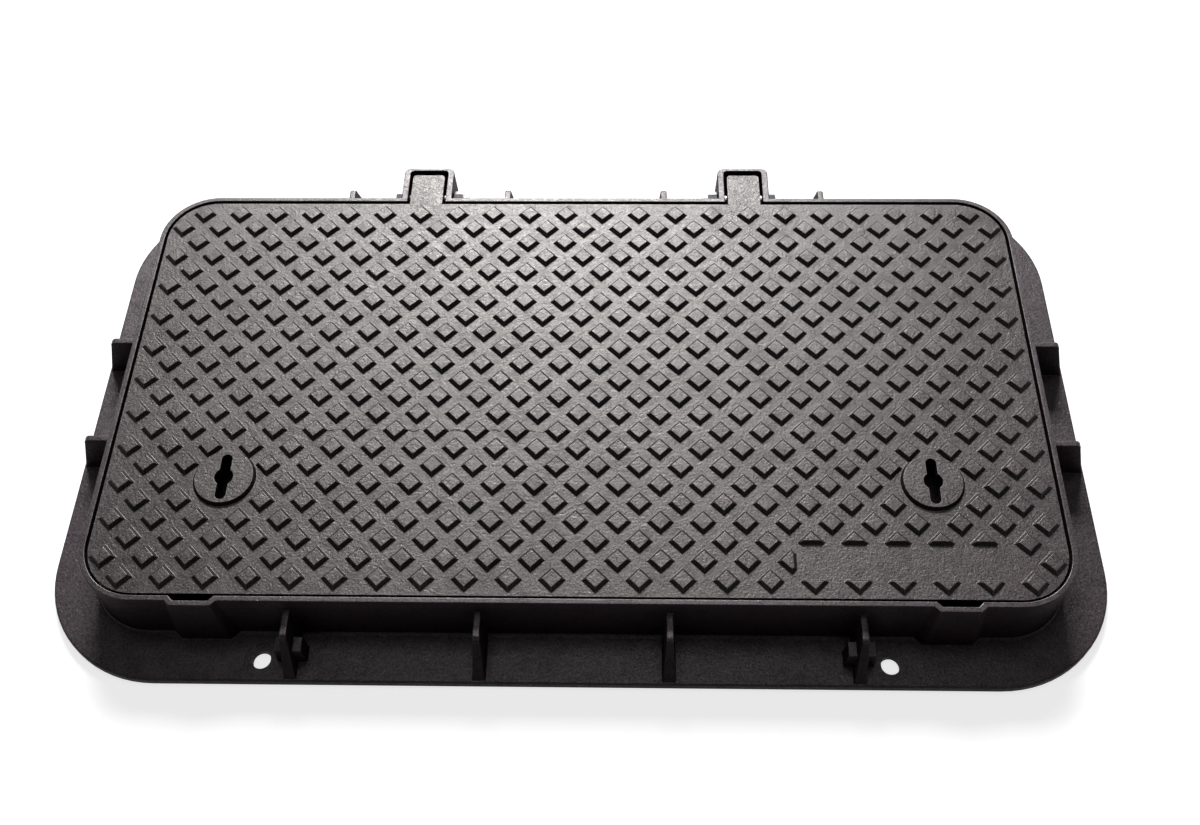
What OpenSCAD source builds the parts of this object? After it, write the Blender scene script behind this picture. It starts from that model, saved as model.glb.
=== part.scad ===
// Hinged access cover: a studded cast-iron cover that swings up on two bolts
// from a cast-iron frame with a wide bolting flange.
// Millimetres, +Z up. The origin is the centre of the frame's underside.
// The hinges are on the +Y side. The cover is drawn closed.

/* [Cover plate] */
// Length of the cover, along the hinge side
cover_l = 912; // [840:1:1000]
// Width of the cover, front to rear, without its tongues
cover_w = 473; // [460:1:560]
// Corner radius of the cover
cover_r = 50; // [35:1:70]
// Thickness of the plate between the ribs
plate_t = 8; // [6:0.5:12]
// Height of the upright land round the plate's edge
land_h = 3.5; // [2:0.5:4]
// Set-in of the skirt from the plate's edge
skirt_in = 4.5; // [4:0.5:8]
// Depth of the cover from its top plane to the foot of the skirt
cover_depth = 29.8; // [27:0.1:36]
// Thickness of the skirt at its foot
skirt_t = 7; // [5:0.5:10]
// Growth in thickness of the skirt up to the plate
skirt_draft = 3; // [1:0.5:4]
// Depth of the ribs below the plate
rib_h = 17; // [10:0.5:19]
// Thickness of the ribs
rib_t = 7; // [5:0.5:12]
// Distance of the two long ribs from the middle
rib_y = 78; // [60:1:84]

/* [Studs] */
// Distance between neighbouring stud centres in a row
stud_pitch = 40; // [36:1:44]
// Height of the studs and of the key discs
stud_h = 4; // [2:0.5:6]
// Width of a stud across its flats, at its foot
stud_foot = 18.5; // [14:0.1:19.5]
// Width of a stud across its flats, on top
stud_top = 12.5; // [8:0.1:13.5]
// Left end of the bare panel
panel_x0 = 205; // [190:1:220]
// Right end of the bare panel
panel_x1 = 405; // [300:1:410]
// Depth of the bare panel, front to rear
panel_w = 35; // [30:1:40]

/* [Key discs] */
// Distance of each key disc from the middle, sideways
key_x = 340; // [330:1:350]
// Distance of the key discs from the middle, towards the front
key_y = 115.5; // [112:0.5:125]
// Diameter of a key disc, at its foot
disc_d = 61; // [58:1:64]
// Diameter of a key disc, on top
disc_top = 56.5; // [52:0.5:57.5]
// Round middle of the keyhole
keyhole_d = 18; // [14:0.5:24]
// Length of the keyhole's slot
slot_l = 49; // [40:1:50]
// Width of the keyhole's slot
slot_w = 10; // [6:0.5:12]
// Thickness of the disc over the key chamber
bridge_t = 10; // [8:0.5:12]
// Inside diameter of the key chamber
chamber_d = 54; // [52:1:56]
// Inside depth of the key chamber
chamber_h = 28; // [20:1:34]
// Thickness of the key chamber's wall
chamber_wall = 5; // [4:0.5:7]
// Thickness of the key chamber's floor
chamber_floor = 5; // [4:0.5:8]

/* [Frame] */
// Height of the frame
frame_h = 75; // [70:1:110]
// Gap between cover and frame at each end
gap_end = 3; // [2:0.5:5]
// Gap between cover and frame at the front
gap_front = 1.5; // [1.5:0.5:4]
// Gap between cover and frame at the rear
gap_rear = 3.5; // [3.5:0.5:5]
// Width of the rim's top
rim_t = 5.5; // [4.5:0.5:9]
// Flare of the outer wall from rim to foot
wall_flare = 2; // [0:0.5:5]
// Radius where the wall meets the flange
foot_r = 4; // [2:0.5:7]
// Play between the skirt's foot and the seat
seat_gap = 0.2; // [0.1:0.1:1]
// Width of the seat that carries the cover
seat_w = 24; // [18:1:32]
// Thickness of the seat at its inner edge
seat_t = 7; // [5:0.5:10]
// Extra thickness of the seat at the wall
seat_root = 8; // [0:0.5:12]
// Length of the flange
flange_l = 1024; // [1010:1:1160]
// Width of the flange, front to rear
flange_w = 590; // [588:1:700]
// Corner radius of the flange
flange_r = 117; // [90:1:130]
// Thickness of the flange
flange_t = 10; // [8:0.5:14]
// Radius of the flange's upper edge
flange_edge_r = 2; // [1:0.5:4]

/* [Flange bolt holes] */
// Distance between the hole centres, sideways
hole_dx = 590; // [560:1:600]
// Distance of the hole centres from the flange's front and rear edges
hole_in = 21.5; // [20:0.5:23]
// Diameter of the bolt holes
hole_d = 18; // [14:0.5:22]
// Diameter of the dressed seat round each hole
spot_d = 31; // [28:1:33]
// Depth of the dressed seat round each hole
spot_h = 0.8; // [0.4:0.1:2]

/* [Gussets] */
// Distance of the inner front and rear gussets from the middle
gusset_x1 = 88.3; // [60:0.1:110]
// Distance of the outer front and rear gussets from the middle
gusset_x2 = 265; // [250:1:272]
// Distance of the end gussets from the middle
gusset_y = 60; // [40:1:120]
// Drop from the rim to the top of the gussets
gusset_drop = 17; // [10:0.5:24]
// Reach of the front and rear gussets' top from the inside of the wall
gusset_run = 35; // [26:0.5:40]
// Reach of the end gussets' top from the inside of the wall
end_run = 38; // [28:0.5:42]
// Thickness of the gussets on top
gusset_t = 6.5; // [4:0.5:9]
// Growth in thickness of the gussets down to the flange
gusset_grow = 5; // [1:0.5:8]
// Radius of the gussets' outer corner
gusset_r = 6; // [2:0.5:8]
// Width of the cross block on each outer gusset
block_w = 26; // [16:1:30]
// Thickness of the cross block
block_t = 15; // [8:1:16]
// Distance of the cross block from the inside of the wall
block_u = 22.5; // [18:0.5:24]
// Height of the cross block above the flange
block_h = 25; // [12:1:30]
// Growth in width of the cross block down to the flange
block_grow = 2; // [0.5:0.5:4]

/* [Lever notches] */
// Distance of the front lever notches from the middle
notch_x = 350; // [330:1:360]
// Width of a notch at its floor
notch_floor = 32; // [24:1:40]
// Width of a notch at its mouth
notch_mouth = 42; // [41:1:56]
// Depth of a notch into the wall
notch_depth = 5; // [3:0.5:8]
// Flare of the bump round a notch from rim to foot
notch_flare = 4.8; // [2:0.1:6]

/* [Hinges] */
// Distance of each hinge from the middle
hinge_x = 176.6; // [150:0.1:200]
// Height of the hinge bolts below the rim
pin_drop = 17; // [15:0.5:17]
// Distance of the hinge bolts behind the cover's rear edge
pin_back = 20.5; // [20.5:0.5:22]
// Diameter of the hinge bolts
pin_d = 12; // [10:0.5:14]
// Play round the bolts, on the radius
pin_gap = 0.1; // [0.05:0.01:0.1]
// Width of the cover's tongues
tongue_w = 36; // [28:0.5:44]
// Reach of the tongues behind the hinge bolts
tongue_tail = 22.5; // [18:0.5:23]
// Radius of the eye round the bolt
eye_r = 11; // [9:0.5:12]
// Depth of the tongue's tail from its top
tail_t = 13; // [9:0.5:15]
// Rounding of the tongue's rear corners
tongue_r = 4; // [2:0.5:6]
// Play at each side of a tongue in its pocket
pocket_gap = 3; // [1:0.5:5]
// Play behind a tongue in its pocket
pocket_back = 6.5; // [6:0.5:8]
// Thickness of the pocket's side walls, on top
pocket_t = 7; // [5:0.5:10]
// Thickness of the pocket's rear wall, on top
pocket_rear_t = 4; // [3:0.5:6]
// Flare of the pocket's outer faces from rim to flange
pocket_flare = 3; // [0:0.5:3]
// Outer corner radius of the pocket
pocket_r = 7; // [4:0.5:10]

/* [Hinge bolts and nuts] */
// Width across the flats of head and nut
hex_af = 18; // [16:0.5:18]
// Height of the bolt's head
head_h = 7.5; // [5:0.5:10]
// Depth of the chamfer on head and nut
hex_chamfer = 1; // [0.5:0.25:2]
// Height of the nut
nut_h = 10.8; // [8:0.2:14]
// Length of thread that stands out of the nut
thread_end = 6; // [2:0.5:12]
// Chamfer at the tip of the bolt
tip_chamfer = 1; // [0.5:0.25:2]

/* [Hidden] */
$fn = 64;
eps = 1;

// Levels
top_z = frame_h;
plate_z = top_z - plate_t;
skirt_z = top_z - cover_depth;
seat_z = skirt_z - seat_gap;
gusset_z = top_z - gusset_drop;

// Opening of the frame, which is wider at the rear than at the front
open_l = cover_l + 2 * gap_end;
open_w = cover_w + gap_front + gap_rear;
open_r = cover_r + gap_end;
open_y = (gap_rear - gap_front) / 2;
open_front = cover_w / 2 + gap_front;
open_rear = cover_w / 2 + gap_rear;
wall_foot = rim_t + wall_flare;
wall_lean = atan2(wall_flare, top_z - flange_t);
foot_reach = foot_r / tan((90 + wall_lean) / 2);
hole_y = flange_w / 2 - hole_in;

// Stud lattice: rows lie half a pitch apart and are shifted by half a pitch
half_pitch = stud_pitch / 2;
rows = floor((cover_w / 2 - stud_foot * 0.72) / half_pitch);
cols = floor((cover_l / 2 - stud_foot * 0.72) / half_pitch);
stud_slope = (stud_foot - stud_top) / 2;
panel_y = -(rows - 1) * half_pitch;

// Hinge
pin_y = cover_w / 2 + pin_back;
pin_z = top_z - pin_drop;
tail_y = pin_y + tongue_tail;
pocket_w = tongue_w + 2 * pocket_gap;
pocket_y = tail_y + pocket_back;
ear_x = pocket_w / 2 + pocket_t + pocket_flare * pin_drop / (top_z - flange_t);
hex_r = hex_af / 2 / cos(30);

// Rounded rectangle about the middle
module rounded(l, w, r) {
  square([l - 2 * r, w], center = true);
  square([l, w - 2 * r], center = true);
  for (x = [-1, 1], y = [-1, 1]) translate([x * (l / 2 - r), y * (w / 2 - r)]) circle(r);
}

// Sweeps a section round a rounded rectangle. The section's first axis points
// outwards from the outline and its second axis points up.
module swept(l, w, r) {
  for (turn = [0, 180]) rotate(turn) {
    translate([r - l / 2, w / 2, 0]) rotate([90, 0, 90]) linear_extrude(l - 2 * r) children();
    translate([l / 2, w / 2 - r, 0]) rotate([90, 0, 0]) linear_extrude(w - 2 * r) children();
    translate([l / 2 - r, w / 2 - r, 0]) rotate_extrude(angle = 90) translate([r, 0]) children();
    translate([r - l / 2, w / 2 - r, 0]) rotate(90) rotate_extrude(angle = 90) translate([r, 0]) children();
  }
}

// A long bar with sloping sides: foot and top width, height, length along Y
module ridge(foot, top, h, len) {
  rotate([90, 0, 0]) linear_extrude(len, center = true)
    polygon([[-foot / 2, -eps], [foot / 2, -eps], [foot / 2, 0], [top / 2, h], [-top / 2, h], [-foot / 2, 0]]);
}

// One stud: a bevelled diamond, where two ridges cross
module stud() {
  intersection() {
    rotate(45) ridge(stud_foot, stud_top, stud_h, 2 * stud_foot);
    rotate(-45) ridge(stud_foot, stud_top, stud_h, 2 * stud_foot);
  }
}

function near_disc(x, y) = norm([abs(x) - key_x, y + key_y]) < disc_d / 2 + stud_slope;
function in_panel(x, y) = x > panel_x0 && x < panel_x1 && abs(y - panel_y) < half_pitch / 2;

// The stud field, without the studs that the key discs and the panel displace
module stud_field() {
  difference() {
    for (j = [-rows:rows], i = [-cols:cols]) {
      x = i * half_pitch;
      y = j * half_pitch;
      if ((i + j) % 2 == 0 && !near_disc(x, y) && !in_panel(x, y)) translate([x, y, 0]) stud();
    }
    // The panel clips the studs round it with the same slope as their sides
    translate([(panel_x0 + panel_x1) / 2, panel_y, 0]) intersection() {
      rotate(90) ridge(panel_w, panel_w + 2 * stud_slope, stud_h + 0.01, 2 * panel_x1);
      ridge(panel_x1 - panel_x0, panel_x1 - panel_x0 + 2 * stud_slope, stud_h + 0.01, 4 * panel_w);
    }
  }
}

// Keyhole: a slot with round ends, widened in its middle
module keyhole() {
  circle(d = keyhole_d);
  square([slot_w, slot_l - slot_w], center = true);
  for (y = [-1, 1]) translate([0, y * (slot_l - slot_w) / 2]) circle(d = slot_w);
}

// Edge of the plate with its skirt, as a section from the cover's outline
module skirt_section() {
  polygon([
    [0, top_z], [0, top_z - land_h], [-skirt_in, top_z - land_h - skirt_in],
    [-skirt_in, skirt_z], [-skirt_in - skirt_t, skirt_z], [-skirt_in - skirt_t - skirt_draft, plate_z],
    [-skirt_in - skirt_t - skirt_draft, top_z]
  ]);
}

// Tongue that reaches into a hinge pocket, about the hinge's middle plane
module tongue() {
  root_y = cover_w / 2 - skirt_in - 1;
  intersection() {
    translate([-tongue_w / 2, 0, 0]) rotate([90, 0, 90]) linear_extrude(tongue_w) union() {
      translate([pin_y, pin_z]) circle(eye_r);
      polygon([
        [root_y, top_z], [tail_y, top_z], [tail_y, top_z - tail_t], [pin_y + eye_r * sin(45), pin_z - eye_r * cos(45)],
        [pin_y, pin_z - eye_r], [root_y, pin_z - eye_r]
      ]);
    }
    union() {
      translate([-tongue_w / 2, root_y, 0]) cube([tongue_w, tail_y - tongue_r - root_y, top_z + eps]);
      translate([tongue_r - tongue_w / 2, root_y, 0]) cube([tongue_w - 2 * tongue_r, tail_y - root_y, top_z + eps]);
      for (x = [-1, 1]) translate([x * (tongue_w / 2 - tongue_r), tail_y - tongue_r, 0]) cylinder(h = top_z + eps, r = tongue_r);
    }
  }
}

module cover() {
  color("#4b474a") difference() {
    union() {
      // Plate, edge and skirt
      translate([0, 0, plate_z]) linear_extrude(plate_t)
        rounded(cover_l - 2 * skirt_in - 2 * skirt_t, cover_w - 2 * skirt_in - 2 * skirt_t, cover_r - skirt_in - skirt_t);
      swept(cover_l, cover_w, cover_r) skirt_section();
      // Ribs under the plate, in line with the hinges and the key chambers
      for (y = [-1, 1]) translate([0, y * rib_y, plate_z - rib_h / 2])
        cube([cover_l - 2 * skirt_in - skirt_t, rib_t, rib_h + eps], center = true);
      for (x = [-key_x, -hinge_x, 0, hinge_x, key_x]) translate([x, 0, plate_z - rib_h / 2])
        cube([rib_t, cover_w - 2 * skirt_in - skirt_t, rib_h + eps], center = true);
      // Studs on top
      translate([0, 0, top_z]) stud_field();
      // Key discs with their closed chambers below
      for (x = [-key_x, key_x]) translate([x, -key_y, 0]) {
        translate([0, 0, top_z - eps]) cylinder(h = eps, d = disc_d);
        translate([0, 0, top_z]) cylinder(h = stud_h, d1 = disc_d, d2 = disc_top);
        translate([0, 0, top_z + stud_h - bridge_t - chamber_h - chamber_floor])
          cylinder(h = bridge_t + chamber_h + chamber_floor - stud_h, d = chamber_d + 2 * chamber_wall);
      }
      for (x = [-hinge_x, hinge_x]) translate([x, 0, 0]) tongue();
    }
    for (x = [-key_x, key_x]) translate([x, -key_y, top_z + stud_h - bridge_t]) {
      translate([0, 0, -eps]) linear_extrude(bridge_t + 2 * eps) keyhole();
      translate([0, 0, -chamber_h]) cylinder(h = chamber_h, d = chamber_d);
    }
    // Bores of the tongues
    for (x = [-hinge_x, hinge_x]) translate([x - tongue_w / 2 - eps, pin_y, pin_z]) rotate([0, 90, 0])
      cylinder(h = tongue_w + 2 * eps, r = pin_d / 2 + pin_gap);
  }
}

// Wall of the frame with rim, seat and foot radius, as a section from the opening's outline
module wall_section() {
  polygon([
    [0, top_z], [rim_t, top_z], [wall_foot, flange_t], [wall_foot, 0], [0, 0],
    [0, seat_z - seat_t - seat_root], [-seat_w, seat_z - seat_t], [-seat_w, seat_z], [0, seat_z]
  ]);
  // Foot radius, tangent to the leaning wall and to the flange
  difference() {
    polygon([
      [wall_foot - eps, flange_t - eps], [wall_foot + foot_reach, flange_t - eps], [wall_foot + foot_reach, flange_t],
      [wall_foot + foot_reach, flange_t + foot_r],
      [wall_foot - foot_reach * sin(wall_lean), flange_t + foot_reach * cos(wall_lean)],
      [wall_foot - foot_reach * sin(wall_lean) - eps, flange_t + foot_reach * cos(wall_lean)]
    ]);
    translate([wall_foot + foot_reach, flange_t + foot_r]) circle(foot_r);
  }
}

// Outer edge of the flange, as a section from its outline
module flange_section() {
  translate([-flange_edge_r - eps, 0]) square([flange_edge_r + eps, flange_t - flange_edge_r]);
  translate([-flange_edge_r - eps, 0]) square([eps, flange_t]);
  translate([-flange_edge_r, flange_t - flange_edge_r]) circle(flange_edge_r);
}

// A gusset that stands out along +X from the inside of the wall. run is the
// reach of its top and foot the reach of the flange beyond that line.
module gusset(run, foot) {
  intersection() {
    rotate([90, 0, 0]) linear_extrude(4 * gusset_t + 2 * gusset_grow, center = true) union() {
      polygon([[eps, 0], [foot, 0], [foot, flange_t], [run, gusset_z - gusset_r], [run - gusset_r, gusset_z], [eps, gusset_z]]);
      intersection() {
        translate([run - gusset_r, gusset_z - gusset_r]) circle(gusset_r);
        translate([run - gusset_r, gusset_z - gusset_r - eps]) square(gusset_r + eps);
      }
    }
    translate([foot / 2, 0, 0]) rotate([90, 0, 90]) linear_extrude(2 * foot, center = true)
      polygon([
        [-(gusset_t + gusset_grow) / 2, -eps], [(gusset_t + gusset_grow) / 2, -eps], [(gusset_t + gusset_grow) / 2, flange_t],
        [gusset_t / 2, gusset_z + eps], [-gusset_t / 2, gusset_z + eps], [-(gusset_t + gusset_grow) / 2, flange_t]
      ]);
  }
}

// Cross block that stands on the flange and passes through an outer gusset
module cross_block() {
  translate([block_u + block_t / 2, 0, flange_t]) rotate([90, 0, 90]) linear_extrude(block_t, center = true)
    polygon([[-(block_w + block_grow) / 2, -eps], [(block_w + block_grow) / 2, -eps], [block_w / 2, block_h], [-block_w / 2, block_h]]);
}

// Solid body of a hinge pocket, with flared outer faces and rounded rear corners
module pocket_body() {
  w = pocket_w + 2 * pocket_t;
  rear = pocket_y + pocket_rear_t;
  h = top_z - flange_t;
  front = open_rear + 1;
  intersection() {
    translate([0, front, flange_t]) rotate([90, 0, 0]) mirror([0, 0, 1]) linear_extrude(rear + pocket_flare - front)
      polygon([[-w / 2 - pocket_flare, -eps], [w / 2 + pocket_flare, -eps], [w / 2, h], [-w / 2, h]]);
    translate([-w, 0, flange_t]) rotate([90, 0, 90]) linear_extrude(2 * w)
      polygon([[front, -eps], [rear + pocket_flare, -eps], [rear, h], [front, h]]);
    union() {
      translate([-w, front, 0]) cube([2 * w, rear - pocket_r - front, top_z]);
      translate([pocket_r - w / 2, front, 0]) cube([w - 2 * pocket_r, 2 * pocket_y, top_z]);
      for (x = [-1, 1]) translate([x * (w / 2 - pocket_r), rear - pocket_r, flange_t - eps])
        cylinder(h = h + eps, r1 = pocket_r + pocket_flare, r2 = pocket_r);
    }
  }
}

// Room for a tongue inside its pocket, open to the frame's opening
module pocket_room() {
  r = tongue_r;
  translate([-pocket_w / 2, open_rear + rim_t, flange_t]) cube([pocket_w, pocket_y - r - open_rear - rim_t, top_z]);
  translate([r - pocket_w / 2, open_rear + rim_t, flange_t]) cube([pocket_w - 2 * r, pocket_y - open_rear - rim_t, top_z]);
  for (x = [-1, 1]) translate([x * (pocket_w / 2 - r), pocket_y - r, flange_t]) cylinder(h = top_z, r = r);
  translate([-pocket_w / 2, open_rear - 1, seat_z]) cube([pocket_w, rim_t + 2, top_z]);
}

// Plan of a lever notch from the wall's inner face outwards
module notch_plan() {
  polygon([
    [-notch_mouth / 2, eps], [notch_mouth / 2, eps], [notch_mouth / 2, 0],
    [notch_floor / 2, -notch_depth], [-notch_floor / 2, -notch_depth], [-notch_mouth / 2, 0]
  ]);
}

// Bump of the front wall round a lever notch, which flares down to the flange
module notch_bump() {
  reach = rim_t + notch_depth;
  half = notch_floor / 2 + rim_t / 2;
  // The flare goes on below the flange's top, down to the underside
  root = notch_flare * top_z / (top_z - flange_t);
  // The bump's sides are parallel to those of the notch in plan
  turn = atan2(notch_depth, (notch_mouth - notch_floor) / 2);
  side_rim = half * sin(turn) + reach * cos(turn);
  side_root = (half + root) * sin(turn) + (reach + root) * cos(turn);
  intersection() {
    translate([-2 * notch_mouth, 0, 0]) rotate([90, 0, 90]) linear_extrude(4 * notch_mouth)
      polygon([[-eps, top_z], [-reach, top_z], [-reach - root, 0], [-eps, 0]]);
    notch_side(turn, side_rim, side_root);
    mirror([1, 0, 0]) notch_side(turn, side_rim, side_root);
  }
}

// Everything on the inner side of one flank of the bump
module notch_side(turn, side_rim, side_root) {
  rotate([0, 0, turn - 90]) rotate([90, 0, 0]) linear_extrude(8 * notch_mouth, center = true)
    polygon([[-3 * notch_mouth, 0], [side_root, 0], [side_rim, top_z], [-3 * notch_mouth, top_z]]);
}

module frame() {
  color("#454145") difference() {
    union() {
      translate([0, open_y, 0]) swept(open_l, open_w, open_r) wall_section();
      linear_extrude(flange_t) difference() {
        rounded(flange_l - 2 * flange_edge_r, flange_w - 2 * flange_edge_r, flange_r - flange_edge_r);
        translate([0, open_y]) rounded(open_l + rim_t, open_w + rim_t, open_r + rim_t / 2);
      }
      swept(flange_l, flange_w, flange_r) flange_section();
      for (x = [-gusset_x2, -gusset_x1, gusset_x1, gusset_x2]) {
        translate([x, -open_front, 0]) rotate(-90) gusset(gusset_run, flange_w / 2 - flange_edge_r - open_front);
        translate([x, open_rear, 0]) rotate(90) gusset(gusset_run, flange_w / 2 - flange_edge_r - open_rear);
      }
      for (x = [-gusset_x2, gusset_x2]) {
        translate([x, -open_front, 0]) rotate(-90) cross_block();
        translate([x, open_rear, 0]) rotate(90) cross_block();
      }
      for (y = [-gusset_y, gusset_y]) {
        translate([open_l / 2, y, 0]) gusset(end_run, (flange_l - open_l) / 2 - flange_edge_r);
        translate([-open_l / 2, y, 0]) rotate(180) gusset(end_run, (flange_l - open_l) / 2 - flange_edge_r);
      }
      for (x = [-hinge_x, hinge_x]) translate([x, 0, 0]) pocket_body();
      for (x = [-notch_x, notch_x]) translate([x, -open_front, 0]) notch_bump();
    }
    for (x = [-hinge_x, hinge_x]) translate([x, 0, 0]) {
      pocket_room();
      // Bolt holes through the pocket's side walls, and flat seats for head and nut
      translate([-2 * ear_x, pin_y, pin_z]) rotate([0, 90, 0]) cylinder(h = 4 * ear_x, r = pin_d / 2 + pin_gap);
      translate([ear_x, pin_y, pin_z]) rotate([0, 90, 0]) cylinder(h = ear_x, r = hex_r + eps);
      translate([-2 * ear_x, pin_y, pin_z]) rotate([0, 90, 0]) cylinder(h = ear_x, r = hex_r + eps);
    }
    for (x = [-notch_x, notch_x]) translate([x, -open_front, seat_z]) linear_extrude(top_z) notch_plan();
    // Bolt holes of the flange, each in a shallow dressed seat
    for (x = [-1, 1], y = [-1, 1]) translate([x * hole_dx / 2, y * hole_y, -eps]) {
      cylinder(h = flange_t + 2 * eps, d = hole_d);
      translate([0, 0, flange_t - spot_h + eps]) cylinder(h = spot_h + eps, d = spot_d);
    }
  }
}

// Hexagon along +X with chamfered outer corners
module hexagon(h) {
  intersection() {
    rotate([0, 90, 0]) cylinder(h = h, r = hex_r, $fn = 6);
    rotate([0, 90, 0]) union() {
      cylinder(h = h - hex_chamfer, r = hex_r + eps);
      translate([0, 0, h - hex_chamfer]) cylinder(h = hex_chamfer, r1 = hex_r + 0.1, r2 = hex_af / 2 - 0.2);
    }
  }
}

// Hinge bolt along X: head at -X, tip at +X
module hinge_bolt() {
  color("#b9bcc0") {
    translate([-ear_x, 0, 0]) mirror([1, 0, 0]) hexagon(head_h);
    translate([-ear_x - 1, 0, 0]) rotate([0, 90, 0])
      cylinder(h = 2 * ear_x + nut_h + thread_end - tip_chamfer + 1, d = pin_d);
    translate([ear_x + nut_h + thread_end - tip_chamfer, 0, 0]) rotate([0, 90, 0])
      cylinder(h = tip_chamfer, d1 = pin_d, d2 = pin_d - 2 * tip_chamfer);
  }
}

// Nut on the tip of the hinge bolt
module hinge_nut() {
  color("#c3c6c9") difference() {
    translate([ear_x, 0, 0]) hexagon(nut_h);
    translate([ear_x - 1, 0, 0]) rotate([0, 90, 0]) cylinder(h = nut_h + 2, r = pin_d / 2 + pin_gap);
  }
}

module at_hinge(side) {
  translate([side * hinge_x, pin_y, pin_z]) children();
}

// The heads are on the outer sides, so the right-hand pair is turned round
module hinge_bolt_left() { at_hinge(-1) hinge_bolt(); }
module hinge_bolt_right() { at_hinge(1) rotate(180) hinge_bolt(); }
module hinge_nut_left() { at_hinge(-1) hinge_nut(); }
module hinge_nut_right() { at_hinge(1) rotate(180) hinge_nut(); }

frame();
cover();
hinge_bolt_left();
hinge_bolt_right();
hinge_nut_left();
hinge_nut_right();
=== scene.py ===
# %% [markdown]
# # Hinged access cover
# This lesson dresses a cast-iron access cover and its frame. The cover has a
# raised diamond tread, two keyhole discs and two tongues that turn on zinc-plated
# bolts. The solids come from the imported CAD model. Here they get the soft edges of
# a sand casting, the paint, the grain and the wear, and the bolts get their threads.

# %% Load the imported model
import math
import bmesh
import bpy
from mathutils import Matrix, Vector
from mathutils.bvhtree import BVHTree


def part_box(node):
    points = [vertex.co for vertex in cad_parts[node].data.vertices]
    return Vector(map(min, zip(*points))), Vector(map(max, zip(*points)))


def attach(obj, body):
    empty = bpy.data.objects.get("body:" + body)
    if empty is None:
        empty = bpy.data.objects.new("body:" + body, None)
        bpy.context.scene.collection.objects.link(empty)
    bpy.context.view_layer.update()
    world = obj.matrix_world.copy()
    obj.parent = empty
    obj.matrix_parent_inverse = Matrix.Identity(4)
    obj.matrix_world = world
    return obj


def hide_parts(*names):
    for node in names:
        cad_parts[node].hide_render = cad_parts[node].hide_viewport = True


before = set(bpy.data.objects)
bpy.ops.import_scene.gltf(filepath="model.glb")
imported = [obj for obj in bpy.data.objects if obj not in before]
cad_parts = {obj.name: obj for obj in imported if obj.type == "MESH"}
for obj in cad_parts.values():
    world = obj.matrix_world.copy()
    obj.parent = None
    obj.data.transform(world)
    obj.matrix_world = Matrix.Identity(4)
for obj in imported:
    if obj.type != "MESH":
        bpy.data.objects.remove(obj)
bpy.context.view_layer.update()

# %% [markdown]
# ## Camera
# The photograph looks down on the closed cover from the front. A camera could be
# moved by eye until the picture fits. Here the square stud lattice gave the place,
# the turn and the focal length of the lens, so the camera is set to those numbers
# and nothing is shifted.

# %% Camera
scene = bpy.context.scene
lens = bpy.data.cameras.new("photo_camera")
lens.sensor_fit = "HORIZONTAL"
lens.sensor_width = 36.0
lens.lens = 38.196
camera = bpy.data.objects.new("photo_camera", lens)
camera.location = (0.0484, -0.7181, 1.1395)
camera.rotation_euler = [math.radians(a) for a in (32.599, 0.878, 0.907)]
scene.collection.objects.link(camera)
scene.camera = camera
scene.view_settings.view_transform = "Standard"
print("camera at", tuple(round(v, 3) for v in camera.location))

# %% [markdown]
# ## Node helpers
# Every finish below is a small tree of nodes. Nodes can be placed by hand in the
# editor, but in code each one takes the same few lines, so six helpers come first.
# They add a node and fill its sockets, and add a noise, a soft threshold, a
# calculation, a mix of two colours and an empty material.

# %% A node, a noise and a soft threshold
def add(tree, kind, inputs=None, **settings):
    """Adds a node. A socket among the inputs is linked, and a plain value is set."""
    made = tree.nodes.new(kind)
    for key, value in settings.items():
        setattr(made, key, value)
    for key, value in (inputs or {}).items():
        if isinstance(value, bpy.types.NodeSocket):
            tree.links.new(value, made.inputs[key])
        else:
            made.inputs[key].default_value = value
    return made


def noise(tree, place, scale, detail=2.0, roughness=0.5, distortion=0.0):
    inputs = {"Vector": place, "Scale": scale, "Detail": detail}
    inputs.update({"Roughness": roughness, "Distortion": distortion})
    return add(tree, "ShaderNodeTexNoise", inputs).outputs[0]


def remap(tree, value, low, high, out_low=0.0, out_high=1.0):
    """A soft step: low becomes out_low and high becomes out_high, on a smooth curve."""
    inputs = {0: value, 1: low, 2: high, 3: out_low, 4: out_high}
    return add(tree, "ShaderNodeMapRange", inputs, interpolation_type="SMOOTHSTEP").outputs[0]


print("made add, noise and remap")

# %% A calculation, a mix of colours and an empty material
def maths(tree, operation, a, b=0.0):
    return add(tree, "ShaderNodeMath", {0: a, 1: b}, operation=operation).outputs[0]


def mix_colour(tree, share, a, b):
    # A colour mix uses sockets 0, 6 and 7 and output 2 of the Mix node
    inputs = {0: share, 6: a, 7: b}
    return add(tree, "ShaderNodeMix", inputs, data_type="RGBA").outputs[2]


def new_material(name):
    made = bpy.data.materials.new(name)
    made.use_nodes = True
    tree = made.node_tree
    tree.nodes.clear()
    out = tree.nodes.new("ShaderNodeOutputMaterial")
    return made, tree, out


print("made maths, mix_colour and new_material")

# %% [markdown]
# ## A seam in the plate
# Where two streams of iron meet in the mould, the casting can keep a thin dark line.
# One runs across the tread, left of the middle. It could be cut into the mesh, but
# it is no deeper than the paint, so it is a mask in the material: the distance from
# a course over the plate, bent and broken off by two noises.

# %% Hairline seam
plate_top = 0.075


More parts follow.
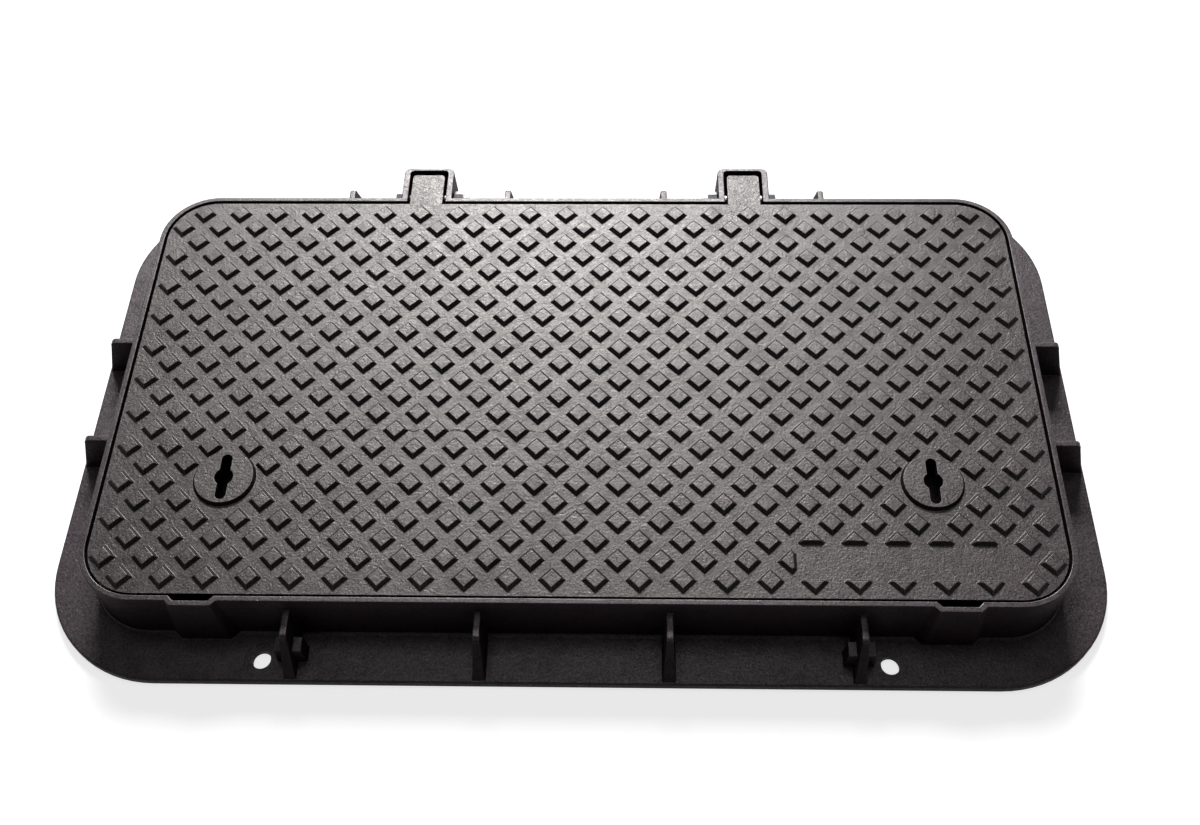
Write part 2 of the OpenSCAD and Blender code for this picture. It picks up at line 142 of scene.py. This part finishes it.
def hairline(tree, place):
    """A mask for the seam. It fades out at both ends and keeps to the plate's upper face."""
    axes = add(tree, "ShaderNodeSeparateXYZ", {0: place})
    x, y, z = (axes.outputs[k] for k in "XYZ")
    course = remap(tree, x, -0.06, 0.04, 0.0595, 0.0650)
    wander = maths(tree, "SUBTRACT", noise(tree, place, 95.0, 5.0, 0.75), 0.5)
    wander = maths(tree, "MULTIPLY", wander, 0.014)
    off = maths(tree, "ADD", maths(tree, "ADD", y, course), wander)
    line = remap(tree, maths(tree, "ABSOLUTE", off), 0.0010, 0.0003)
    limits = (
        remap(tree, x, -0.30, -0.26),
        remap(tree, x, 0.06, 0.03),
        remap(tree, noise(tree, place, 60.0, 2.0, 0.5), 0.42, 0.50),
        remap(tree, z, plate_top + 0.0025, plate_top + 0.0012),
        remap(tree, z, plate_top - 0.0030, plate_top - 0.0010),
    )
    for limit in limits:
        line = maths(tree, "MULTIPLY", line, limit)
    return line


print("made hairline for a plate at", plate_top, "m")

# %% [markdown]
# ## Worn edges, painted highlights and painted shade
# Feet and tools rub the paint thin along the outer edges. The same edge mask also
# lightens the inner corners, where nothing rubs, so its lighter colour is partly a
# painted highlight. Steep faces get a painted shade, a darker colour, and duller paint.
# Both could be painted by hand on each stud. Masks do it everywhere at once. A Bevel
# node finds the edges, because it works the same from every side, and the piece's own
# normal tells a wall from a level face.

# %% Masks for edge wear and highlight, and for the painted shade on steep faces
# The lighter edge colour from this mask is rubbed paint on outer edges and a painted highlight in
# inner corners
def edge_wear_and_highlight(tree, place):
    """A patchy mask where the rounded normal leaves the face's own normal."""
    soft = add(tree, "ShaderNodeBevel", {"Radius": 0.0016}, samples=4).outputs[0]
    flat = tree.nodes.new("ShaderNodeNewGeometry").outputs["Normal"]
    along = add(tree, "ShaderNodeVectorMath", {0: soft, 1: flat}, operation="DOT_PRODUCT")
    edge = remap(tree, along.outputs["Value"], 0.995, 0.86)
    patchy = remap(tree, noise(tree, place, 240.0, 3.0, 0.7), 0.40, 0.60)
    return maths(tree, "MULTIPLY", edge, patchy)


# Steep faces are darkened in iron_colour, a painted shade, and get duller paint
def steep_faces(tree, normal):
    up = add(tree, "ShaderNodeSeparateXYZ", {0: normal}).outputs["Z"]
    return remap(tree, maths(tree, "ABSOLUTE", up), 0.92, 0.40)


print("made edge_wear_and_highlight and steep_faces")

# %% [markdown]
# ## The print of the sand
# The mould is packed sand, and the iron takes its print: slow swells, ripples, grain
# of about a millimetre and a few pits. Such fine relief would need millions of faces,
# so it is a stack of bumps. Each Bump node works on the normal of the one before it.

# %% Bumps from coarse to fine
def sand_print(tree, place, grain):
    pits = add(tree, "ShaderNodeTexVoronoi", {"Vector": place, "Scale": 150.0, "Randomness": 1.0})
    pits = remap(tree, pits.outputs["Distance"], 0.05, 0.18)
    # Pits are kept only where a slow noise is high
    rare = remap(tree, noise(tree, place, 17.0, 2.0, 0.5), 0.50, 0.60)
    pits = maths(tree, "MAXIMUM", pits, maths(tree, "SUBTRACT", 1.0, rare))
    layers = (
        # height, strength, depth in metres
        (noise(tree, place, 34.0, 2.0, 0.4), 0.18, 0.0010),
        (noise(tree, place, 190.0, 3.0, 0.55, 0.8), 0.45 * grain, 0.0008),
        (noise(tree, place, 430.0, 3.0, 0.6), grain, 0.0003),
        (noise(tree, place, 1100.0, 2.0, 0.6), grain, 0.00012),
        (pits, 0.5, 0.0004),
    )
    below = {}
    for height, strength, depth in layers:
        inputs = {"Strength": strength, "Distance": depth, "Height": height, **below}
        below = {"Normal": add(tree, "ShaderNodeBump", inputs).outputs[0]}
    return below["Normal"]


print("made sand_print")

# %% [markdown]
# ## Painted cast iron
# The castings are dipped in thin black bitumen paint. It is satin, a little warm and
# uneven, with dark hollows between the grains of sand. One flat black would look like
# plastic. So the colour, the roughness and the strength of the shine each follow
# noises of their own. Walls get a painted shade and duller paint, and edges a lighter,
# glossier colour that is partly rubbed paint and partly a painted highlight.

# %% Colour of the iron
def iron_colour(tree, place, deep, pale, wear_and_highlight_colour, grain, speck, wear_and_highlight, steep):
    """Slow mottling, dark hollows, lighter edges as wear and painted highlight, and painted shade
    on walls, one over the other.
    """
    # A darker copy of the deep tone, for the grain's hollows and the painted shade on walls
    shade = [c * 0.4 for c in deep[:3]] + [1.0]
    mottle = remap(tree, noise(tree, place, 7.0, 5.0, 0.6), 0.33, 0.70)
    colour = mix_colour(tree, mottle, deep, pale)
    colour = mix_colour(tree, remap(tree, speck, 0.52, 0.36, 0.0, grain), colour, shade)
    # Lighter edges: rubbed paint, and a painted highlight where the mask lies in inner corners
    colour = mix_colour(tree, wear_and_highlight, colour, wear_and_highlight_colour)
    # Steep faces darken towards the shade colour: painted shade on walls and stud sides
    return mix_colour(tree, maths(tree, "MULTIPLY", steep, 0.85), colour, shade)


print("made iron_colour")

# %% Cast iron finish
def cast_iron(name, deep, pale, wear_and_highlight_colour, sheen, shine, gloss, grain, seam):
    made, tree, out = new_material(name)
    coords = tree.nodes.new("ShaderNodeTexCoord")
    place = coords.outputs["Object"]
    speck = noise(tree, place, 520.0, 2.0, 0.6)
    # Edge mask: wear on outer edges, painted highlight in inner corners
    wear_and_highlight = edge_wear_and_highlight(tree, place)
    # Steep mask: painted shade in the colour, and rougher, less shiny paint
    steep = steep_faces(tree, coords.outputs["Normal"])
    colour = iron_colour(tree, place, deep, pale, wear_and_highlight_colour, grain, speck, wear_and_highlight, steep)
    # Roughness follows the sand. Edges shine a little more, walls less
    sand = noise(tree, place, 300.0, 3.0, 0.6)
    rough = remap(tree, sand, 0.32, 0.68, gloss - 0.05, gloss + 0.06)
    rough = maths(tree, "SUBTRACT", rough, maths(tree, "MULTIPLY", wear_and_highlight, 0.08))
    rough = maths(tree, "ADD", rough, maths(tree, "MULTIPLY", steep, 0.15))
    # The paint gleams on the grains of sand, less in the hollows, in stains and on walls
    gleam = remap(tree, speck, 0.36, 0.62, 0.78 * shine, 1.22 * shine)
    stain = remap(tree, noise(tree, place, 58.0, 4.0, 0.65), 0.34, 0.56, 0.76, 1.0)
    gleam = maths(tree, "MULTIPLY", gleam, stain)
    gleam = maths(tree, "MULTIPLY", gleam, remap(tree, steep, 0.0, 1.0, 1.0, 0.10))
    if seam:
        line, soot = hairline(tree, place), (0.003, 0.002, 0.0025, 1.0)
        colour = mix_colour(tree, maths(tree, "MULTIPLY", line, 0.85), colour, soot)
        gleam = maths(tree, "MULTIPLY", gleam, remap(tree, line, 0.0, 1.0, 1.0, 0.12))
    inputs = {"Base Color": colour, "Roughness": rough, "Specular Tint": sheen, "IOR": 1.5}
    inputs["Normal"] = sand_print(tree, place, grain)
    shader = add(tree, "ShaderNodeBsdfPrincipled", inputs)
    # The socket's own value is what a program that can't follow the link will show
    shader.inputs["Specular IOR Level"].default_value = shine
    tree.links.new(gleam, shader.inputs["Specular IOR Level"])
    tree.links.new(shader.outputs[0], out.inputs[0])
    print("finish", name, "with", len(tree.nodes), "nodes")
    return made


# %% [markdown]
# The frame and the cover are two castings from two moulds. The cover is coarser and
# a little lighter, since it is walked on, and only the cover has the seam.

# %% The two iron finishes
cover_iron = cast_iron(
    "painted_iron_cover",
    deep=(0.0200, 0.0135, 0.0165, 1.0),
    pale=(0.0490, 0.0345, 0.0405, 1.0),
    # edge colour: rubbed paint, and a painted highlight in inner corners
    wear_and_highlight_colour=(0.150, 0.136, 0.140, 1.0),
    sheen=(1.0, 0.970, 0.930, 1.0),
    shine=0.78,
    gloss=0.42,
    grain=0.95,
    seam=True,
)
frame_iron = cast_iron(
    "painted_iron_frame",
    deep=(0.0185, 0.0113, 0.0152, 1.0),
    pale=(0.0425, 0.0285, 0.0360, 1.0),
    # edge colour: rubbed paint, and a painted highlight in inner corners
    wear_and_highlight_colour=(0.150, 0.132, 0.140, 1.0),
    sheen=(1.0, 0.945, 0.955, 1.0),
    shine=0.76,
    gloss=0.415,
    grain=0.60,
    seam=False,
)

# %% [markdown]
# ## Soft edges for the castings
# A sand casting has no sharp edge, and a CAD solid has only sharp ones. A Bevel
# modifier would need a weight on every edge to change its size, so the bevel
# operator is run here, size by size. Inner corners get a fillet in the same step, as
# the moulder's wax gives them. In a tight corner the operator can throw a point far
# off, so a point that has left the surface is put back on it.

# %% Round the edges
sharp_turn = math.radians(25)


def round_edges(work, radius_at):
    """Rounds each sharp edge by radius_at(edge), in metres."""
    surface = BVHTree.FromBMesh(work)
    sizes = sorted({radius_at(e) for e in work.edges} - {0.0})
    rounded = put_back = 0
    for size in sizes:
        sharp = [e for e in work.edges if e.calc_face_angle(0.0) > sharp_turn]
        edges = [e for e in sharp if radius_at(e) == size]
        rounded += len(edges)
        bmesh.ops.bevel(
            work,
            geom=edges,
            offset=size,
            offset_type="OFFSET",
            segments=2,
            profile=0.5,
            affect="EDGES",
            clamp_overlap=False,
            material=-1,
        )
    for v in work.verts:
        point, _, _, distance = surface.find_nearest(v.co)
        if distance > 1.05 * sizes[-1]:
            v.co = point
            put_back += 1
    bmesh.ops.dissolve_degenerate(work, dist=4e-6, edges=work.edges)
    return rounded, put_back


print("edges that turn by more than", round(math.degrees(sharp_turn)), "degrees are rounded")

# %% [markdown]
# A CAD node is left as it is. Its mesh is copied, and the loose triangles of the copy
# are merged and dissolved into whole faces, so that only real edges are left to
# round. Weighted normals then keep the large faces flat beside their rounds.

# %% Copy a CAD node as a casting
def casting(node, name, finish, radius_at, body):
    work = bmesh.new()
    work.from_mesh(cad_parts[node].data)
    bmesh.ops.remove_doubles(work, verts=work.verts, dist=1e-6)
    bmesh.ops.dissolve_limit(
        work, angle_limit=math.radians(0.5), verts=work.verts, edges=work.edges
    )
    rounded, put_back = round_edges(work, radius_at)
    mesh = bpy.data.meshes.new(name)
    work.to_mesh(mesh)
    work.free()
    mesh.polygons.foreach_set("use_smooth", [True] * len(mesh.polygons))
    mesh.materials.append(finish)
    piece = bpy.data.objects.new(name, mesh)
    scene.collection.objects.link(piece)
    weighted = piece.modifiers.new("flat faces stay flat", "WEIGHTED_NORMAL")
    weighted.mode = "FACE_AREA"
    weighted.weight = 80
    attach(piece, body)
    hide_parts(node)
    print(name, len(mesh.polygons), "faces,", rounded, "rounded edges,", put_back, "put back")


# %% [markdown]
# ## The cover
# The cover's edges get a round of less than half a millimetre. The studs that touch a
# key disc, and the foot of the disc, lie so close together that one size would make
# their rounds cross, so these few get a finer one.

# %% Cover casting
key_x, key_y, stud_top = 0.340, 0.1155, 0.079
disc_top_r, disc_foot_r = 0.0288, 0.0305


def beside_key_disc(v):
    across, along = abs(v.co.x) - key_x, v.co.y + key_y
    reach = math.hypot(across, along)
    across = abs(across)
    # The studs' places are counted from the middle of the disc
    stud_behind = 0.006 < across < 0.034 and 0.0195 < along < 0.0495
    stud_aside = 0.0265 < across < 0.0535 and 0.002 < along < 0.029
    disc_foot = abs(reach - disc_foot_r) < 0.0006 and v.co.z < plate_top + 0.0008
    on_disc_top = v.co.z > stud_top - 0.0005 and reach < disc_top_r
    near_disc = stud_behind or stud_aside or disc_foot
    return v.co.z > plate_top - 0.0002 and not on_disc_top and near_disc


def cover_radius(edge):
    return 0.0002 if all(beside_key_disc(v) for v in edge.verts) else 0.00045


casting("cover", "cover_casting", cover_iron, cover_radius, "cover")

# %% [markdown]
# ## The frame
# The frame gets a full millimetre, less round the shallow seats of the bolt holes.
# The flats under the hinge bolts' heads and nuts are milled after casting, so they
# stay sharp.

# %% Frame casting
hole_x, hole_y = 0.295, 0.2735
seat_reach, seat_low, seat_high = 0.0165, 0.0085, 0.0105
hinge_x, pin_y, pin_z = 0.1766, 0.257, 0.058
flat_reach, flat_in, flat_out = 0.0125, 0.0265, 0.06


def on_bolt_seat(v):
    beside = max(abs(abs(v.co.x) - hole_x), abs(abs(v.co.y) - hole_y))
    return seat_low < v.co.z < seat_high and beside < seat_reach


def on_pin_flat(v):
    along = abs(abs(v.co.x) - hinge_x)
    reach = math.hypot(v.co.y - pin_y, v.co.z - pin_z)
    return flat_in < along < flat_out and reach < flat_reach


def frame_radius(edge):
    if all(on_pin_flat(v) for v in edge.verts):
        return 0.0
    return 0.0003 if all(on_bolt_seat(v) for v in edge.verts) else 0.0010


casting("frame", "frame_casting", frame_iron, frame_radius, "frame")

# %% [markdown]
# ## Zinc plating
# The hinge turns on bolts and nuts with a bright zinc finish. Zinc is a metal, so its
# colour is the colour of its reflections, and a grey paint would not do. A cloudy
# tint and an uneven roughness break up the mirror, as the crystals of the plating do.

# %% Zinc finish
def zinc(name, tint):
    made, tree, out = new_material(name)
    place = tree.nodes.new("ShaderNodeTexCoord").outputs["Object"]
    cloud = remap(tree, noise(tree, place, 260.0, 4.0, 0.6), 0.3, 0.7)
    colour = mix_colour(tree, cloud, tint, [c * 0.78 for c in tint[:3]] + [1.0])
    rough = remap(tree, noise(tree, place, 700.0, 3.0, 0.6), 0.3, 0.7, 0.24, 0.42)
    crystals = noise(tree, place, 1500.0, 2.0, 0.5)
    bump = add(tree, "ShaderNodeBump", {"Strength": 0.2, "Distance": 0.0001, "Height": crystals})
    inputs = {"Base Color": colour, "Roughness": rough, "Metallic": 1.0}
    inputs["Normal"] = bump.outputs[0]
    shader = add(tree, "ShaderNodeBsdfPrincipled", inputs)
    tree.links.new(shader.outputs[0], out.inputs[0])
    return made


bolt_zinc = zinc("zinc_on_bolt", (0.78, 0.79, 0.81, 1.0))
nut_zinc = zinc("zinc_on_nut", (0.82, 0.82, 0.83, 1.0))
print("finishes", bolt_zinc.name, nut_zinc.name)

# %% [markdown]
# ## Hexagons
# A hexagon head is turned from round bar and then gets six flats. A plain prism would
# miss the curved corners that this leaves. So it is made the same way here: a
# chamfered blank is spun, and six planes cut the flats.

# %% Spin and cut
flats, pin_r, chamfer = 0.018, 0.006, 0.001


def spun(work, outline, steps, climb=0.0):
    """Spins an outline of (along X, radius) points round X, with a climb over the whole turn."""
    verts = [work.verts.new((x, r, 0.0)) for x, r in outline]
    edges = [work.edges.new(pair) for pair in zip(verts, verts[1:])]
    bmesh.ops.spin(
        work,
        geom=verts + edges,
        cent=(0, 0, 0),
        axis=(1, 0, 0),
        dvec=(climb / steps, 0, 0),
        angle=math.tau,
        steps=steps,
        use_merge=climb == 0.0,
    )


def cut_off(work, point, out):
    """Cuts away what lies beyond a plane, and closes the cut."""
    everything = work.verts[:] + work.edges[:] + work.faces[:]
    cut = bmesh.ops.bisect_plane(
        work, geom=everything, plane_co=point, plane_no=out, clear_outer=True
    )
    rim = [g for g in cut["geom_cut"] if isinstance(g, bmesh.types.BMEdge)]
    bmesh.ops.contextual_create(work, geom=rim)


print("bolt", pin_r * 2000, "mm,", flats * 1000, "mm across the flats")

# %% Hexagon from a spun blank
def hexagon(work, x0, x1, bore):
    """A head from x0 to its chamfered end x1, or with a bore a nut, chamfered at both ends."""
    corner = flats / 2 / math.cos(math.radians(30)) + 0.0001
    rim = flats / 2 - 0.0002
    step = chamfer if x1 > x0 else -chamfer
    outline = [(x1 - step, corner), (x1, rim)]
    if bore:
        mouth = bore + chamfer / 2
        inner = [(x1, mouth), (x1 - step / 2, bore), (x0 + step / 2, bore), (x0, mouth)]
        outline = [(x0, rim), (x0 + step, corner)] + outline + inner + [(x0, rim)]
    else:
        outline = [(x0, 0.0), (x0, corner)] + outline + [(x1, 0.0)]
    spun(work, outline, 60)
    bmesh.ops.remove_doubles(work, verts=work.verts, dist=1e-7)
    for k in range(6):
        turn = math.radians(60 * k + 30)
        out = Vector((0.0, math.sin(turn), math.cos(turn)))
        cut_off(work, out * flats / 2, out)


print("made hexagon")

# %% [markdown]
# ## Threads
# The thread shows beyond each nut. Rings of grooves would be quick, but a real thread
# climbs. The outline is a zigzag that is spun with a shift of one pitch for each
# turn, so each ridge runs into the next. Two planes trim it, and the tip is coned.

# %% A climbing thread
pitch, tooth = 0.00175, 0.00107


def threaded(work, x0, x1):
    turns = int((x1 - x0) / pitch) + 2
    zigzag = []
    for k in range(turns):
        start = x0 - pitch + k * pitch
        crest = [(start + pitch * share, pin_r) for share in (0.42, 0.55)]
        zigzag += [(start, pin_r - tooth)] + crest
    zigzag.append((x0 - pitch + turns * pitch, pin_r - tooth))
    spun(work, zigzag, 36, climb=pitch)
    bmesh.ops.remove_doubles(work, verts=work.verts, dist=2e-6)
    cut_off(work, (x0, 0, 0), (-1.0, 0, 0))
    cut_off(work, (x1, 0, 0), (1.0, 0, 0))
    for v in work.verts:
        radius = math.hypot(v.co.y, v.co.z)
        most = pin_r - chamfer + (x1 - v.co.x)
        if radius > most > 0:
            v.co.y *= most / radius
            v.co.z *= most / radius


print("made threaded, pitch", pitch, "m")

# %% [markdown]
# ## Bolts and nuts
# Both hinges are alike: the head is outside, the nut and the thread inside. So one
# bolt is modelled along X, and the right one is the same with a half turn. Each is
# put where its CAD node is, so it stays in its bore when the cover swings.

# %% Put a small piece in its place
def merge_into(work, other):
    mesh = bpy.data.meshes.new("part")
    other.to_mesh(mesh)
    other.free()
    work.from_mesh(mesh)
    bpy.data.meshes.remove(mesh)


def finish_mesh(work, name, place, turned, finish, body, slot_name, *nodes):
    """Closes the work on a small piece: normals, place, material and body."""
    bmesh.ops.remove_doubles(work, verts=work.verts, dist=1e-7)
    bmesh.ops.recalc_face_normals(work, faces=work.faces)
    if turned:
        half_turn = Matrix.Rotation(math.pi, 3, "Z")
        bmesh.ops.rotate(work, verts=work.verts, cent=(0, 0, 0), matrix=half_turn)
    bmesh.ops.translate(work, verts=work.verts, vec=place)
    mesh = bpy.data.meshes.new(name)
    work.to_mesh(mesh)
    work.free()
    mesh.shade_smooth()
    mesh.set_sharp_from_angle(angle=math.radians(32))
    mesh.materials.append(finish)
    piece = bpy.data.objects.new(name, mesh)
    scene.collection.objects.link(piece)
    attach(piece, body)
    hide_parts(*nodes)
    print(name, len(mesh.polygons), "faces")


# %% Bolts and nuts
for side, turned in (("left", False), ("right", True)):
    low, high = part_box("hinge_bolt_" + side)
    nut_low, nut_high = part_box("hinge_nut_" + side)
    middle_x = hinge_x if turned else -hinge_x
    place = Vector((middle_x, (low[1] + high[1]) / 2, (low[2] + high[2]) / 2))
    # Along the bolt's own axis: head, nut and tip
    if turned:
        head_x, tip_x = place.x - high[0], place.x - low[0]
        nut_in, nut_out = place.x - nut_high[0], place.x - nut_low[0]
    else:
        head_x, tip_x = low[0] - place.x, high[0] - place.x
        nut_in, nut_out = nut_low[0] - place.x, nut_high[0] - place.x
    bolt, shank, thread, nut = (bmesh.new() for _ in range(4))
    hexagon(bolt, -nut_in, head_x, 0.0)
    shank_in, shank_out = -nut_in - 0.001, nut_in + 0.002
    spun(shank, [(shank_in, 0.0), (shank_in, pin_r), (shank_out, pin_r), (shank_out, 0.0)], 36)
    merge_into(bolt, shank)
    threaded(thread, nut_in + 0.001, tip_x)
    merge_into(bolt, thread)
    bolt_node, nut_node = "hinge_bolt_" + side, "hinge_nut_" + side
    finish_mesh(bolt, "bolt_" + side, place, turned, bolt_zinc, "frame", "zinc_bolt", bolt_node)
    hexagon(nut, nut_in, nut_out, pin_r + 0.0001)
    finish_mesh(nut, "nut_" + side, place, turned, nut_zinc, "frame", "zinc_nut", nut_node)

# %% [markdown]
# ## Floor
# The photograph is cut out on white. More light would turn the floor white, but it
# would bleach the iron too. So the floor stays a mid grey for the lamps, and the
# camera and mirrors see a plain glow added to it. It reads as white and still keeps
# the soft shadow of the frame. It lies a hair below the frame's underside, because
# two faces at one height would flicker.

# %% Floor
floor_drop = 0.0002
floor_mesh = bmesh.new()
bmesh.ops.create_grid(floor_mesh, x_segments=1, y_segments=1, size=20.0)
mesh = bpy.data.meshes.new("floor")
floor_mesh.to_mesh(mesh)
floor_mesh.free()
floor = bpy.data.objects.new("floor", mesh)
floor.location.z = -floor_drop
scene.collection.objects.link(floor)
print("floor", floor_drop, "m below the frame")

# %% White paper
paper, tree, out = new_material("white_paper")
matt = add(tree, "ShaderNodeBsdfDiffuse", {"Color": (0.50, 0.50, 0.50, 1.0)})
glow = add(tree, "ShaderNodeEmission", {"Color": (1.0, 1.0, 1.0, 1.0), "Strength": 0.74})
both = add(tree, "ShaderNodeAddShader", {0: matt.outputs[0], 1: glow.outputs[0]})
path = tree.nodes.new("ShaderNodeLightPath")
seen = maths(tree, "MAXIMUM", path.outputs["Is Camera Ray"], path.outputs["Is Glossy Ray"])
seen = maths(tree, "MAXIMUM", seen, path.outputs["Is Transmission Ray"])
choice = add(tree, "ShaderNodeMixShader", {0: seen, 1: matt.outputs[0], 2: both.outputs[0]})
tree.links.new(choice.outputs[0], out.inputs[0])
mesh.materials.append(paper)
print("floor finish", paper.name)

# %% [markdown]
# ## Light
# The sheen on the real cover is strongest at the hinges and fades to the front. A
# lamp beside the camera would flatten the tread. So the light is one wide softbox
# high behind the object, and a weak one overhead lifts the front flange.

# %% Softboxes
def softbox(name, place, aim, width, height, watts):
    lamp = bpy.data.lights.new(name, "AREA")
    lamp.shape = "RECTANGLE"
    lamp.size, lamp.size_y, lamp.energy = width, height, watts
    made = bpy.data.objects.new(name, lamp)
    made.location = place
    made.rotation_euler = (Vector(aim) - Vector(place)).to_track_quat("-Z", "Y").to_euler()
    made.visible_camera = False
    scene.collection.objects.link(made)
    print(name, watts, "W")


softbox("softbox_behind", (-0.36, 4.6, 3.7), (0.0, 0.0, 0.0), 2.2, 1.5, 565)
softbox("softbox_above", (-0.1, 0.5, 4.2), (0.0, 0.0, 0.0), 2.4, 1.8, 20)

# %% [markdown]
# A dim world fills the shadows. It could be one grey, but then the zinc would mirror
# a dark room. So mirrors see its pale walls, up to about 25 degrees above the floor,
# and the camera sees it white.

# %% Dim room with pale walls
dim, wall_glow = 0.04, 0.55
wall_end, wall_foot = 0.42, 0.10
world = bpy.data.worlds.new("dim_room")
world.use_nodes = True
scene.world = world
tree = world.node_tree
room = tree.nodes["Background"]
room.inputs["Color"].default_value = (1.0, 1.0, 1.0, 1.0)
sky = add(tree, "ShaderNodeTexCoord").outputs["Generated"]
height = add(tree, "ShaderNodeSeparateXYZ", {0: sky}).outputs["Z"]
walls = remap(tree, height, wall_end, wall_foot, dim, wall_glow)
path = tree.nodes.new("ShaderNodeLightPath")
camera_ray, glossy_ray = path.outputs["Is Camera Ray"], path.outputs["Is Glossy Ray"]
mirrored = maths(tree, "MAXIMUM", glossy_ray, path.outputs["Is Transmission Ray"])
strength = add(tree, "ShaderNodeMix", {0: mirrored, 2: dim, 3: walls}).outputs[0]
strength = add(tree, "ShaderNodeMix", {0: camera_ray, 2: strength, 3: 1.0}).outputs[0]
tree.links.new(strength, room.inputs["Strength"])
print("world", world.name, "at", dim, "with walls at", wall_glow)
